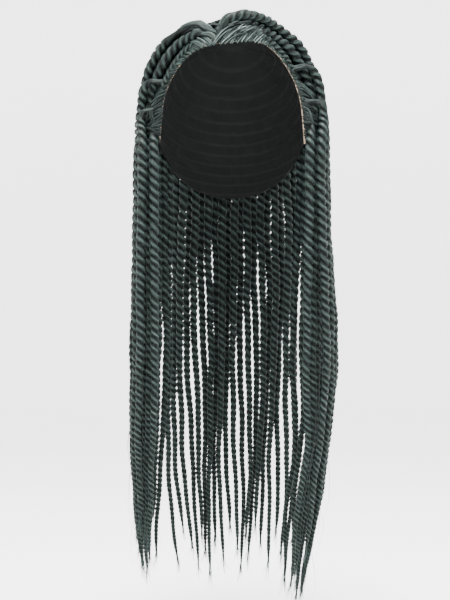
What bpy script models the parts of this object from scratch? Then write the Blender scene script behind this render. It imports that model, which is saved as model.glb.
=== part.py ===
"""A lace-front wig of two-strand hair twists, kept in the form that it has on a head.

The origin is the inner top of the cap, where the head seats. +Z is up, the face looks along -Y and the
wearer's left is +X. Lengths are in metres and angles in degrees.

A direction is a unit vector from the middle of the head. A point of a shell is that direction stretched by
the head's half sizes plus the shell's height over the head. "Down" is the angle from the crown to the side,
and "forward" is a direction's Y, so -1 is the middle of the face and 1 the back of the head.
"""

import math

import bmesh
import bpy
from mathutils import Matrix, Vector

# The head that the cap fits, as half of an ellipsoid
HEAD_HALF_WIDTH = 0.079
HEAD_HALF_DEPTH = 0.098
CROWN_HEIGHT = 0.125

# Cap and lace front. The lace meets the cap along a seam and reaches past the roots of the hair.
CAP_WALL = 0.0015
LACE_THICKNESS = 0.001
LACE_WIDTH = 0.006
LACE_OVERHANG = 0.0025
SEAM_GAP = 0.0005
CAP_COLUMNS = 56
CAP_RINGS = 9
CAP_POLE_TILT = 30.0

# Rim of the cap, from the middle of the forehead to the nape: azimuth from the face, elevation, and 1 where
# lace edges it
HALF_RIM = (
    (0.0, 59.5, 1.0),
    (15.0, 60.5, 1.0),
    (31.0, 60.5, 1.0),
    (49.0, 59.0, 1.0),
    (64.0, 55.0, 1.0),
    (72.5, 48.5, 1.0),
    (77.5, 41.0, 1.0),
    (79.0, 33.0, 1.0),
    (75.0, 24.0, 1.0),
    (69.5, 14.5, 1.0),
    (67.0, 6.0, 1.0),
    (71.0, 0.0, 0.0),
    (80.0, 3.0, 0.0),
    (93.0, 8.0, 0.0),
    (110.0, 5.0, 0.0),
    (130.0, -7.0, 0.0),
    (150.0, -15.0, 0.0),
    (180.0, -19.0, 0.0),
)

# The wig sits askew: its crown leans to the wearer's right and its front turns to the left, its ears stay level
ASKEW_LEAN = 4.5
ASKEW_TURN = 4.0
ASKEW_FULL_AT = 0.7

# A twist is narrow at its root, full on the head and thin at its tip. Every other one lies on its neighbours.
TWIST_DIAMETER = 0.0093
ROOT_DIAMETER = 0.006
TIP_DIAMETER = 0.0034
LAYER_GAP = 0.0009
SEAT_GAP = 0.0001
GROWTH_LENGTH = 0.04
PART_RISE = 0.015
HAIRLINE_RISE = 0.014
TAPER_POWER = 1.6

# How far the hair stands off the head on its way down, as a share of a twist's diameter
REAR_VOLUME = ((0.0, 0.0), (1.0, 0.0))
SIDE_VOLUME = ((0.0, 0.0), (0.3, 0.4), (0.48, 0.85), (0.62, 0.75), (0.8, 0.25), (0.92, 0.0), (1.0, 0.0))

# The twists of a side are rooted at the part, or down the hairline where the forehead cuts them short
SIDE_TWISTS = 17
PART_OFFSET = 0.0118
PART_GAP = 0.0022
HAIRLINE_END = 74.0
HAIRLINE_JOIN = 0.0045
JOIN_ANGLE = 8.0
FIELD_FIT = 0.93

# Front and back edges of a side's field of twists: share of the way down, forward
FRONT_EDGE = ((0.0, -0.80), (0.45, -0.34), (0.62, -0.22), (0.8, -0.235), (1.0, -0.42))
BACK_EDGE = ((0.0, 0.44), (0.45, 0.58), (0.75, 0.6), (1.0, 0.54))

# The rear twists fan out from two arcs round the crown: raised ones from the inner, the others from the outer
REAR_TWISTS = 20
CROWN_FORWARD = 0.53
CROWN_INNER = 19.0
CROWN_OUTER = 32.0
CROWN_INNER_SPREAD = 66.0
CROWN_OUTER_SPREAD = 62.0

# The rear twists hang evenly spaced across the back on two curves, over a share of the head's width, and sway
# a little lower down
REAR_SPREAD = 0.835
REAR_LAYER_STEP = 0.015
REAR_SETTLED_AT = 0.3
REAR_SWAY = 0.003

# Middle of a side's bundle where it leaves the head, as a share of the head's half sizes
BUNDLE_MIDDLE = (1.11, 0.04)

# How a bundle hangs: share of the drop, spread sideways, spread front to back, and drift outward as a share
# of the head's half width
HANG_RIGHT = (
    (0.0, 1.0, 1.0, 0.0),
    (0.25, 1.15, 1.0, 0.02),
    (0.45, 1.35, 0.95, 0.03),
    (0.65, 1.25, 0.9, 0.05),
    (0.8, 0.95, 0.8, 0.05),
    (1.0, 0.45, 0.55, 0.0),
)
HANG_LEFT = (
    (0.0, 1.0, 1.0, 0.0),
    (0.2, 1.15, 1.0, 0.01),
    (0.43, 1.8, 1.0, 0.05),
    (0.63, 1.3, 0.9, 0.01),
    (0.8, 1.3, 0.8, -0.12),
    (1.0, 0.75, 0.6, -0.26),
)
HANG_REAR = (
    (0.0, 1.0, 1.0, 0.0),
    (0.3, 1.05, 0.9, 0.0),
    (0.7, 1.0, 0.8, 0.0),
    (1.0, 0.85, 0.7, 0.0),
)

# Reach of the longest tips below the inner top of the cap, and how far the others stop short of it
RIGHT_LENGTH = 0.556
LEFT_LENGTH = 0.583
REAR_LENGTH = 0.575
LENGTH_STAGGER = 0.055

# Rings of a twist: their step on the head, their number where it hangs, and the steps it is read from
HEAD_RING_STEP = 0.017
HANG_RINGS = 6
FINE_STEPS = 60

HAIR = ((0.012, 0.017, 0.015), 0.42)
NET = ((0.010, 0.011, 0.011), 0.85)
LACE = ((0.42, 0.31, 0.22), 0.8)


def ease(share):
    """Rises from 0 to 1 with level ends."""
    share = min(1.0, max(0.0, share))
    return share * share * (3.0 - 2.0 * share)


def eased_row(rows, share):
    """The row of a table at a share, eased between the rows that hold it."""
    for low, high in zip(rows, rows[1:]):
        if share <= high[0]:
            blend = ease((share - low[0]) / (high[0] - low[0]))
            return tuple(a + (b - a) * blend for a, b in zip(low, high))
    return rows[-1]


def from_angles(azimuth, elevation):
    """The direction at an azimuth from the face and an elevation."""
    turn = math.radians(azimuth)
    rise = math.radians(elevation)
    return Vector((math.sin(turn) * math.cos(rise), -math.cos(turn) * math.cos(rise), math.sin(rise)))


def from_down(down, forward):
    """The direction at an angle down from the crown and a forward share."""
    angle = math.radians(down)
    reach = math.sqrt(1.0 - forward * forward)
    return Vector((math.sin(angle) * reach, forward, math.cos(angle) * reach))


def worn(direction):
    """A direction of the straight wig as the wig is worn, a little askew at the crown."""
    share = ease(direction.z / ASKEW_FULL_AT)
    lean = Matrix.Rotation(math.radians(-ASKEW_LEAN * share), 3, "Y")
    turn = Matrix.Rotation(math.radians(ASKEW_TURN * share), 3, "Z")
    return turn @ (lean @ direction)


def on_shell(direction, height):
    """The point of the shell at a height over the head."""
    return Vector(
        (
            direction.x * (HEAD_HALF_WIDTH + height),
            direction.y * (HEAD_HALF_DEPTH + height),
            direction.z * (CROWN_HEIGHT + height) - CROWN_HEIGHT,
        )
    )


def toward(start, end, angle):
    """The direction at an angle in radians along the great circle from one direction to another."""
    whole = start.angle(end)
    return (start * math.sin(whole - angle) + end * math.sin(angle)) / math.sin(whole)


def rim_ring():
    """Directions at even steps round the rim from the nape, each with its outward edge and its share of lace."""
    right = [(from_angles(azimuth, elevation), lace) for azimuth, elevation, lace in reversed(HALF_RIM)]
    rows = right + [(Vector((-d.x, d.y, d.z)), lace) for d, lace in right[-2:0:-1]]
    fine = []
    for i in range(len(rows)):
        before, start, end, after = (rows[(i + k) % len(rows)] for k in (-1, 0, 1, 2))
        for k in range(8):
            t = k / 8.0
            bend = (end[0] - before[0]) * t
            bend += (before[0] * 2.0 - start[0] * 5.0 + end[0] * 4.0 - after[0]) * t * t
            bend += (start[0] * 3.0 - before[0] - end[0] * 3.0 + after[0]) * t * t * t
            fine.append(((start[0] * 2.0 + bend).normalized(), start[1] + (end[1] - start[1]) * t))
    run = [0.0]
    for i, (direction, _) in enumerate(fine):
        run.append(run[-1] + direction.angle(fine[(i + 1) % len(fine)][0]))
    ring = []
    for k in range(CAP_COLUMNS):
        wanted = run[-1] * k / CAP_COLUMNS
        i = max(j for j in range(len(fine)) if run[j] <= wanted)
        along = fine[(i + 4) % len(fine)][0] - fine[i - 4][0]
        ring.append((fine[i][0], fine[i][0].cross(along).normalized(), fine[i][1]))
    return ring


def add_wall(name, columns, closed, thickness, finish):
    """Adds a wall from the head's surface up to a height over it, on columns of directions.

    Closed columns go right round the head and share their first direction. Each column runs outward from it.
    """
    mesh = bmesh.new()
    for height in (0.0, thickness):
        grid = [[mesh.verts.new(on_shell(direction, height)) for direction in column[1:]] for column in columns]
        first = [mesh.verts.new(on_shell(column[0], height)) for column in columns[: 1 if closed else None]]
        for i in range(len(grid) if closed else len(grid) - 1):
            near, far = grid[i], grid[(i + 1) % len(grid)]
            mesh.faces.new([first[0], near[0], far[0]] if closed else [first[i], near[0], far[0], first[i + 1]])
            for row in range(len(near) - 1):
                mesh.faces.new([near[row], near[row + 1], far[row + 1], far[row]])
    bmesh.ops.bridge_loops(mesh, edges=[edge for edge in mesh.edges if edge.is_boundary])
    bmesh.ops.recalc_face_normals(mesh, faces=mesh.faces)
    wall = bpy.data.meshes.new(name)
    mesh.to_mesh(wall)
    mesh.free()
    wall.materials.append(finish)
    wall.shade_smooth()
    wall.set_sharp_from_angle(angle=math.radians(50.0))
    return bpy.data.objects.new(name, wall)


def add_cap_and_lace(net, lace):
    """Adds the cap and the lace front, which carry one rim between them."""
    mean_radius = (HEAD_HALF_WIDTH + HEAD_HALF_DEPTH + CROWN_HEIGHT) / 3.0
    pole = from_angles(180.0, 90.0 - CAP_POLE_TILT)
    cap_columns = []
    lace_columns = []
    for rim, outward, laced in rim_ring():

        def edge(past):
            """The direction at a distance past the rim."""
            return toward(rim, outward, past / mean_radius)

        seam = (LACE_OVERHANG - LACE_WIDTH) * laced
        cap_edge = edge(seam - (SEAM_GAP if laced else 0.0))
        reach = pole.angle(cap_edge)
        steps = [reach * row / CAP_RINGS for row in range(CAP_RINGS + 1)]
        cap_columns.append([worn(toward(pole, cap_edge, step)) for step in steps])
        if laced >= 0.5:
            edges = (edge(seam), rim, edge(LACE_OVERHANG * laced))
            lace_columns.append([worn(direction) for direction in edges])
    return [
        add_wall("cap", cap_columns, True, CAP_WALL, net),
        add_wall("front_lace", lace_columns, False, LACE_THICKNESS, lace),
    ]


def hairline(down):
    """How far forward the hairline is at an angle down from the crown."""
    rows = []
    for azimuth, elevation, laced in HALF_RIM:
        if laced:
            direction = from_angles(azimuth, elevation)
            rows.append((math.degrees(math.atan2(direction.x, direction.z)), direction.y))
    for low, high in zip(rows, rows[1:]):
        if abs(down) <= high[0]:
            return low[1] + (high[1] - low[1]) * max(0.0, (abs(down) - low[0]) / (high[0] - low[0]))
    return rows[-1][1]


def side_forward(share, down):
    """How far forward the twist at a share of a side's field runs, at an angle down."""
    front = eased_row(FRONT_EDGE, down / 90.0)[1]
    back = eased_row(BACK_EDGE, down / 90.0)[1]
    return front + (back - front) * share


def layer_height(raised):
    """Height over the head of a twist's centre line."""
    low = CAP_WALL + LAYER_GAP + 0.5 * TWIST_DIAMETER
    return low + TWIST_DIAMETER + LAYER_GAP if raised else low


def side_count():
    """The number of twists of a side: those asked for, or as many as fit its field and the part."""
    downs = [90.0 * k / FINE_STEPS for k in range(FINE_STEPS + 1)]
    narrow = min(side_forward(1.0, down) - side_forward(0.0, down) for down in downs)
    field = narrow * (HEAD_HALF_DEPTH + layer_height(False)) * FIELD_FIT / (TWIST_DIAMETER + SEAM_GAP)
    part = (side_forward(1.0, 0.0) - side_forward(0.0, 0.0)) * HEAD_HALF_DEPTH
    return min(SIDE_TWISTS, 2 * int(field) + 1, int(part / (ROOT_DIAMETER + SEAM_GAP)))


def rear_count():
    """The number of rear twists: those asked for, or as many as fit round the crown."""
    radius = (HEAD_HALF_WIDTH + layer_height(False)) * math.sin(math.radians(CROWN_INNER))
    arc = 2.0 * math.radians(CROWN_INNER_SPREAD) * radius
    return min(REAR_TWISTS, 2 * int(arc / (ROOT_DIAMETER + SEAM_GAP)) + 2)


def side_start(side, share):
    """Where the twist at a share of a side's field is rooted, as an angle down, and if that is the hairline."""
    part = (PART_GAP - side * PART_OFFSET) / HEAD_HALF_WIDTH
    start = math.degrees(math.asin(part / math.sqrt(1.0 - side_forward(share, 0.0) ** 2)))
    margin = 0.5 * ROOT_DIAMETER / HEAD_HALF_DEPTH
    if side_forward(share, start) > hairline(start) + margin:
        return start, False
    margin += HAIRLINE_JOIN / HEAD_HALF_DEPTH
    for down in range(int(HAIRLINE_END)):
        if side_forward(share, down) < hairline(down) + margin:
            start = down + 1.0
    return start, True


def side_course(side, share):
    """Directions of a side twist from its root to where it leaves the head, and its rise at the root."""
    start, at_hairline = side_start(side, share)
    course = []
    for k in range(FINE_STEPS + 1):
        down = start + (90.0 - start) * k / FINE_STEPS
        forward = side_forward(share, down)
        if at_hairline:
            forward -= HAIRLINE_JOIN / HEAD_HALF_DEPTH * (1.0 - ease((down - start) / JOIN_ANGLE))
        direction = from_down(down, forward)
        direction.x *= side
        course.append(worn(direction))
    return course, HAIRLINE_RISE if at_hairline else PART_RISE


def rear_course(share, raised):
    """Directions of a rear twist from its root near the crown to where it leaves the head, and its rise."""
    across = 2.0 * share - 1.0
    crown = Vector((0.0, CROWN_FORWARD, math.sqrt(1.0 - CROWN_FORWARD**2)))
    back = Vector((0.0, crown.z, -crown.y))
    bearing = math.radians(across * (CROWN_INNER_SPREAD if raised else CROWN_OUTER_SPREAD))
    heading = back * math.cos(bearing) + Vector((math.sin(bearing), 0.0, 0.0))
    root = worn(toward(crown, heading, math.radians(CROWN_INNER if raised else CROWN_OUTER)))
    turn = math.asin(across * REAR_SPREAD * HEAD_HALF_WIDTH / (HEAD_HALF_WIDTH + layer_height(raised)))
    leave = from_angles(180.0 - math.degrees(turn), 0.0)
    whole = root.angle(leave)
    return [toward(root, leave, whole * k / FINE_STEPS) for k in range(FINE_STEPS + 1)], PART_RISE


def head_rings(course, rise, raised, volume):
    """Centre and diameter of each ring of a twist while it lies on the head."""

    def full_height(direction):
        """Height of the centre line once it has risen from its root."""
        down = math.acos(max(-1.0, min(1.0, direction.z))) * 2.0 / math.pi
        return layer_height(raised) + eased_row(volume, down)[1] * TWIST_DIAMETER

    slope = math.atan2(full_height(course[0]) - 0.5 * ROOT_DIAMETER, HEAD_RING_STEP)
    root_height = CAP_WALL + SEAT_GAP + 0.5 * ROOT_DIAMETER * math.cos(slope)
    height = root_height
    points = []
    run = [0.0]
    for direction in course:
        point = on_shell(direction, height)
        if points:
            run.append(run[-1] + (point - points[-1]).length)
        points.append(point)
        height = root_height + (full_height(direction) - root_height) * ease(run[-1] / rise)
    steps = max(2, round(run[-1] / HEAD_RING_STEP))
    rings = []
    for k in range(steps + 1):
        wanted = run[-1] * k / steps
        i = max(j for j in range(len(points) - 1) if run[j] <= wanted)
        centre = points[i].lerp(points[i + 1], (wanted - run[i]) / (run[i + 1] - run[i]))
        growth = ease(wanted / GROWTH_LENGTH)
        rings.append((centre, ROOT_DIAMETER + (TWIST_DIAMETER - ROOT_DIAMETER) * growth))
    return rings


def rear_spot(share, raised):
    """Place that a rear twist settles to below the head."""
    x = (2.0 * share - 1.0) * REAR_SPREAD * HEAD_HALF_WIDTH
    curve = math.sqrt(1.0 - (x / (HEAD_HALF_WIDTH + layer_height(False))) ** 2)
    y = (HEAD_HALF_DEPTH + layer_height(False)) * curve + (REAR_LAYER_STEP if raised else 0.0)
    return Vector((x, y, 0.0))


def hanging_rings(leave, middle, rows, reach, spot=None, sway=0.0):
    """Centre and diameter of each ring of a twist from where it leaves the head to its tip.

    A twist with a spot settles to it, and then sways from it.
    """
    whole = REAR_LENGTH + leave.z
    rings = []
    for k in range(1, HANG_RINGS + 1):
        fall = (reach + leave.z) * k / HANG_RINGS
        share = min(1.0, fall / whole)
        _, wide, deep, drift = eased_row(rows, share)
        place = leave.lerp(spot, ease(share / REAR_SETTLED_AT)) if spot else leave
        x = middle.x * (1.0 - wide) + place.x * wide
        if middle.x:
            x += drift * math.copysign(HEAD_HALF_WIDTH, middle.x)
        if spot:
            x += REAR_SWAY * ease(share / 0.6) * math.sin(math.tau * (sway + share))
        y = middle.y * (1.0 - deep) + place.y * deep
        diameter = TIP_DIAMETER + (TWIST_DIAMETER - TIP_DIAMETER) * (1.0 - share**TAPER_POWER)
        rings.append((Vector((x, y, leave.z - fall)), diameter))
    return rings


def all_twists():
    """Name and rings of every twist."""
    twists = []
    for name, side, rows, length in (("left", 1, HANG_LEFT, LEFT_LENGTH), ("right", -1, HANG_RIGHT, RIGHT_LENGTH)):
        middle = Vector((side * BUNDLE_MIDDLE[0] * HEAD_HALF_WIDTH, BUNDLE_MIDDLE[1] * HEAD_HALF_DEPTH, 0.0))
        count = side_count()
        for rank in range(count):
            course, rise = side_course(side, rank / (count - 1))
            rings = head_rings(course, rise, rank % 2 == 1, SIDE_VOLUME)
            reach = length - LENGTH_STAGGER * stagger(rank)
            rings += hanging_rings(rings[-1][0], middle, rows, reach)
            twists.append((f"{name}_twist_{rank + 1:02d}", rings))
    middle = Vector((0.0, HEAD_HALF_DEPTH, 0.0))
    count = rear_count()
    for rank in range(count):
        course, rise = rear_course(rank / (count - 1), rank % 2 == 1)
        rings = head_rings(course, rise, rank % 2 == 1, REAR_VOLUME)
        reach = REAR_LENGTH - LENGTH_STAGGER * stagger(rank)
        spot = rear_spot(rank / (count - 1), rank % 2 == 1)
        rings += hanging_rings(rings[-1][0], middle, HANG_REAR, reach, spot, rank * 0.13)
        twists.append((f"rear_twist_{rank + 1:02d}", rings))
    return twists


def stagger(rank):
    """A share from 0 to 1 that scatters the tips of neighbouring twists."""
    return (rank * 0.618 + 0.3) % 1.0


def add_twist(name, rings, finish):
    """Adds a twist as a six-sided tapered tube with flat ends."""
    curve = bpy.data.curves.new(name, "CURVE")
    curve.dimensions = "3D"
    curve.bevel_depth = 0.5 * TWIST_DIAMETER
    curve.bevel_resolution = 1
    curve.use_fill_caps = True
    spline = curve.splines.new("POLY")
    spline.points.add(len(rings) - 1)
    for point, (centre, diameter) in zip(spline.points, rings):
        point.co = (*centre, 1.0)
        point.radius = diameter / TWIST_DIAMETER
    curve.materials.append(finish)
    return bpy.data.objects.new(name, curve)


def add_finish(name, colour_and_roughness):
    """A plain material of one colour and roughness."""
    colour, roughness = colour_and_roughness
    finish = bpy.data.materials.new(name)
    finish.use_nodes = True
    shader = finish.node_tree.nodes["Principled BSDF"]
    shader.inputs["Base Color"].default_value = (*colour, 1.0)
    shader.inputs["Roughness"].default_value = roughness
    shader.inputs["Metallic"].default_value = 0.0
    return finish


def main():
    for old in list(bpy.data.objects):
        bpy.data.objects.remove(old)
    wig = bpy.data.objects.new("braid_wig", None)
    pieces = add_cap_and_lace(add_finish("net", NET), add_finish("lace", LACE))
    hair = add_finish("hair", HAIR)
    pieces += [add_twist(name, rings, hair) for name, rings in all_twists()]
    for piece in [wig] + pieces:
        bpy.context.scene.collection.objects.link(piece)
    for piece in pieces:
        piece.parent = wig


if __name__ == "__main__":
    main()
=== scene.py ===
"""The looks of a lace-front wig of two-strand hair twists.

The solids of the wig come in as a fixed frame. Each twist's solid gives the line and the thickness of a rope
of two hair strands. The ropes, their untwisted roots, the wisps at their tips and the loose hairs are made
here.
Lengths are in metres. +Z is up, the face looks along -Y and the wearer's left is +X.
"""

import logging
import math
from dataclasses import dataclass, field
from enum import Enum
from typing import Callable, Dict, Iterable, List, Mapping, Optional, Sequence, Tuple, Union

import bmesh
import bpy
import numpy as np
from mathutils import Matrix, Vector
from mathutils.bvhtree import BVHTree


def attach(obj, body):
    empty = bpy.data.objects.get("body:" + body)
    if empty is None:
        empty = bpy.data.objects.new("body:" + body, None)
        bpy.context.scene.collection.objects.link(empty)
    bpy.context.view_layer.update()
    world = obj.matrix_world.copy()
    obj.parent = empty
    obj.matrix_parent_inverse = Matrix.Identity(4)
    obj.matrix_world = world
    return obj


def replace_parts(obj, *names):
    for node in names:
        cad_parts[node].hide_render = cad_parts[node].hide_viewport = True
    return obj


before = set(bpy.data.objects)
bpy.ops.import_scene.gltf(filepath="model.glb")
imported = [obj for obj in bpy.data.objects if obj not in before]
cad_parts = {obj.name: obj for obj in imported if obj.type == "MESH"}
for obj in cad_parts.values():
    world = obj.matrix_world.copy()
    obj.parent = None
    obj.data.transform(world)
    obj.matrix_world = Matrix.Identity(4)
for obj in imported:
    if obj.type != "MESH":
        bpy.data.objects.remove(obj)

log = logging.getLogger("wig")

Colour = Tuple[float, float, float]
Number = Union[float, "Link"]
Table = Sequence[Tuple[float, float]]
Edge = Tuple[np.ndarray, List[Vector], np.ndarray]

# Camera of the photograph: level, facing +Y, a little to the wearer's right of the wig's middle
CAMERA_PLACE = (-0.007, -1.7, -0.276)
CAMERA_LENS = 99.0
CAMERA_SENSOR = 36.0

# Points of a smooth line for each stretch between its knots
LINE_STEPS = 12

# Flat locks of hair: points round one, depth as a share of width, the painted shade at their edges, and how
# far the tone of whole locks differs at random
LOCK_SIDES = 7
LOCK_DEPTH = 0.75
EDGE_PAINTED_SHADE = 0.75
LOCK_VARIETY = 0.3


def arithmetic(operation: str, reflected: bool = False) -> Callable[["Link", Number], "Link"]:
    """Makes the method of one operator of Link.

    Args:
        operation: The Math node's operation.
        reflected: Whether the other value comes first.

    Returns:
        The method.
    """

    def method(link: "Link", other: Number) -> "Link":
        """The result of the operator."""
        first, second = (other, link) if reflected else (link, other)
        return link.shading.node("ShaderNodeMath", {"operation": operation}, {0: first, 1: second})

    return method


class Link:
    """A value on a shader socket, which takes arithmetic and adds its Math nodes."""

    def __init__(self, shading: "Shading", socket: bpy.types.NodeSocket) -> None:
        """Wraps a socket.

        Args:
            shading: The material that the socket belongs to.
            socket: The output socket.
        """
        self.shading = shading
        self.socket = socket

    __add__ = arithmetic("ADD")
    __radd__ = arithmetic("ADD", reflected=True)
    __sub__ = arithmetic("SUBTRACT")
    __rsub__ = arithmetic("SUBTRACT", reflected=True)
    __mul__ = arithmetic("MULTIPLY")
    __rmul__ = arithmetic("MULTIPLY", reflected=True)
    __pow__ = arithmetic("POWER")
    __gt__ = arithmetic("GREATER_THAN")

    def wave(self) -> "Link":
        """The sine of this value, from 0 to 1."""
        return arithmetic("SINE")(self, 0.0) * 0.5 + 0.5

    def size(self) -> "Link":
        """This value without its sign."""
        return arithmetic("ABSOLUTE")(self, 0.0)


class Shading:
    """The node tree of one material."""

    def __init__(self, name: str) -> None:
        """Starts a material with its surface shader.

        Args:
            name: The material's name.
        """
        self.material = bpy.data.materials.new(name)
        self.material.use_nodes = True
        self.tree = self.material.node_tree
        self.surface = self.tree.nodes["Principled BSDF"]

    def node(
        self,
        kind: str,
        settings: Optional[Mapping[str, object]] = None,
        inputs: Optional[Mapping[Union[int, str], object]] = None,
        output: Union[int, str] = 0,
    ) -> Link:
        """Adds a node.

        Args:
            kind: The node's type.
            settings: Its settings, which are set first. A ramp's stops are given as stops.
            inputs: The values or links of its sockets, by place or name.
            output: The place or name of the socket to hand back.

        Returns:
            The chosen output.
        """
        node = self.tree.nodes.new(kind)
        for key, value in (settings or {}).items():
            if key == "stops":
                self._set_stops(node.color_ramp, value)
            else:
                setattr(node, key, value)
        for key, value in (inputs or {}).items():
            self.feed(node.inputs[key], value)
        return Link(self, node.outputs[output])

    @staticmethod
    def _set_stops(ramp: bpy.types.ColorRamp, stops: Sequence[Tuple[float, Colour]]) -> None:
        """Sets the stops of a colour ramp.

        Args:
            ramp: The ramp.
            stops: Places and colours, in order.
        """
        while len(ramp.elements) < len(stops):
            ramp.elements.new(1.0)
        for element, (place, colour) in zip(ramp.elements, stops):
            element.position = place
            element.color = (*colour, 1.0)

    def feed(self, socket: bpy.types.NodeSocket, value: object) -> None:
        """Links a socket, or sets it.

        Args:
            socket: The input socket.
            value: A link, a number or a colour.
        """
        if isinstance(value, Link):
            self.tree.links.new(value.socket, socket)
        else:
            socket.default_value = value

    def dress(self, **sockets: object) -> bpy.types.Material:
        """Sets the sockets of the surface shader.

        Args:
            **sockets: Values or links by socket name, with _ for a blank.

        Returns:
            The finished material.
        """
        for name, value in sockets.items():
            self.feed(self.surface.inputs[name.replace("_", " ")], value)
        return self.material

    def uv(self) -> Tuple[Link, Link]:
        """The two values of the mesh's own map: round a strand, and along it in metres."""
        return self.three(self.node("ShaderNodeUVMap", {"uv_map": "Strand"}))[:2]

    def place(self) -> Tuple[Link, Link, Link]:
        """The three values of a point's place on the wig."""
        return self.three(self.node("ShaderNodeTexCoord", output="Object"))

    def three(self, vector: Link) -> Tuple[Link, Link, Link]:
        """The three values of a vector."""
        split = self.node("ShaderNodeSeparateXYZ", None, {0: vector})
        outputs = split.socket.node.outputs
        return split, Link(self, outputs[1]), Link(self, outputs[2])

    def grain(self, x: Number, y: Number, z: Number, detail: float = 2.0) -> Link:
        """Noise from 0 to 1.

        Args:
            x: First value of the place that it is read at.
            y: Second value.
            z: Third value.
            detail: Number of finer layers.

        Returns:
            The noise.
        """
        place = self.node("ShaderNodeCombineXYZ", None, {0: x, 1: y, 2: z})
        return self.node("ShaderNodeTexNoise", None, {"Vector": place, "Scale": 1.0, "Detail": detail})

    def blend(self, share: Number, first: object, second: object) -> Link:
        """Mixes two colours.

        Args:
            share: Share of the second colour.
            first: The first colour or link.
            second: The second colour or link.

        Returns:
            The mixed colour.
        """
        node = self.tree.nodes.new("ShaderNodeMix")
        node.data_type = "RGBA"
        for place, value in ((0, share), (6, first), (7, second)):
            self.feed(node.inputs[place], (*value, 1.0) if isinstance(value, tuple) else value)
        return Link(self, node.outputs[2])

    def relief(self, height: Link, strength: float, distance: float) -> Link:
        """Turns a height into a bumped normal.

        Args:
            height: The height, from 0 to 1.
            strength: How strongly it shows.
            distance: Depth in metres.

        Returns:
            The normal.
        """
        inputs = {"Height": height, "Strength": strength, "Distance": distance}
        return self.node("ShaderNodeBump", None, inputs)


@dataclass(frozen=True)
class HairFinish:
    """Off-black synthetic hair, with a grey painted highlight along the crest of each strand and painted
    shade in its creases.
    """

    name: str = "hair"
    shade: Colour = (0.0025, 0.0045, 0.004)
    body: Colour = (0.007, 0.013, 0.011)
    gleam: Colour = (0.029, 0.045, 0.040)
    glint: Colour = (0.150, 0.180, 0.175)
    roughness: float = 0.44
    crease_roughness: float = 0.35
    fibres_round: float = 42.0
    fibre_length: float = 0.022
    fibre_depth: float = 0.0009

    def build(self) -> bpy.types.Material:
        """Makes the material, whose fibres follow each strand."""
        shading = Shading(self.name)
        round_, along = shading.uv()
        fine = shading.grain(round_ * self.fibres_round, along * (1.0 / self.fibre_length), 0.0, 3.0)
        lock = shading.grain(round_ * (self.fibres_round / 3.0), along * (0.6 / self.fibre_length), 7.0)
        tone = fine * 0.5 + lock * 0.5
        # Painted light from each point's crease value: a painted highlight along each strand's crest, painted
        # shade in its creases
        painted_crest_light = 1.0 - shading.node("ShaderNodeAttribute", {"attribute_name": "PaintedLightAndTone"}, output="Fac")
        painted_light_tone = tone * (painted_crest_light ** 3.0 * 0.85 + 0.25)
        # Ramp from the painted shade of the creases, through the hair's own body colour, to the painted gleam
        # and glint of the crests, with the fibre streaks across it
        colour = shading.node(
            "ShaderNodeValToRGB",
            {"stops": ((0.16, self.shade), (0.36, self.body), (0.60, self.gleam), (1.0, self.glint))},
            {0: painted_light_tone},
        )
        return shading.dress(
            Base_Color=colour,
            Roughness=self.roughness + (1.0 - painted_crest_light) * self.crease_roughness,
            Normal=shading.relief(tone, 0.8, self.fibre_depth),
            IOR=1.23,
        )


@dataclass(frozen=True)
class NetFinish:
    """Black stretch net, with rows of stitches that hold the hair and a pale part line."""

    name: str = "net"
    thread: Colour = (0.011, 0.012, 0.012)
    hole: Colour = (0.003, 0.0035, 0.0035)
    part: Colour = (0.20, 0.17, 0.15)
    mesh: float = 0.0016
    row: float = 0.011
    part_middle: float = -0.019
    part_half: float = 0.0022
    part_low: float = -0.03
    part_back: float = 0.048
    part_facing: float = 0.2

    def build(self) -> bpy.types.Material:
        """Makes the material."""
        shading = Shading(self.name)
        x, y, z = shading.place()
        turn = math.tau / self.mesh
        weave = ((x + z) * turn).wave() * ((x - z) * turn + y * turn).wave()
        row = ((z + y * 0.35) * (math.tau / self.row)).wave() ** 6.0
        colour = shading.blend(weave, self.hole, self.thread)
        near = 1.0 - ((x - self.part_middle).size() > self.part_half)
        facing = shading.three(shading.node("ShaderNodeTexCoord", output="Normal"))[2]
        on_top = (z > self.part_low) * (self.part_back - y > 0.0) * (facing > self.part_facing)
        colour = shading.blend(near * on_top, colour, self.part)
        return shading.dress(
            Base_Color=colour,
            Roughness=0.85 - row * 0.2,
            Normal=shading.relief(weave * 0.5 + row * 0.5, 0.5, 0.0006),
            IOR=1.25,
        )


@dataclass(frozen=True)
class LaceFinish:
    """Thin brown lace with open holes."""

    name: str = "lace"
    light: Colour = (0.55, 0.43, 0.32)
    dark: Colour = (0.34, 0.25, 0.18)
    mesh: float = 0.0011
    cover: float = 0.34

    def build(self) -> bpy.types.Material:
        """Makes the material."""
        shading = Shading(self.name)
        x, y, z = shading.place()
        turn = math.tau / self.mesh
        first = ((x + z + y) * turn).wave()
        second = ((x - z + y) * turn).wave()
        thread = 1.0 - (1.0 - (first > 1.0 - self.cover)) * (1.0 - (second > 1.0 - self.cover))
        tone = shading.grain(x * 900.0, y * 900.0, z * 900.0)
        return shading.dress(
            Base_Color=shading.blend(tone, self.dark, self.light),
            Roughness=0.8,
            Alpha=thread * 0.6 + 0.15,
            Normal=shading.relief(first * second, 0.4, 0.0003),
        )


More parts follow.
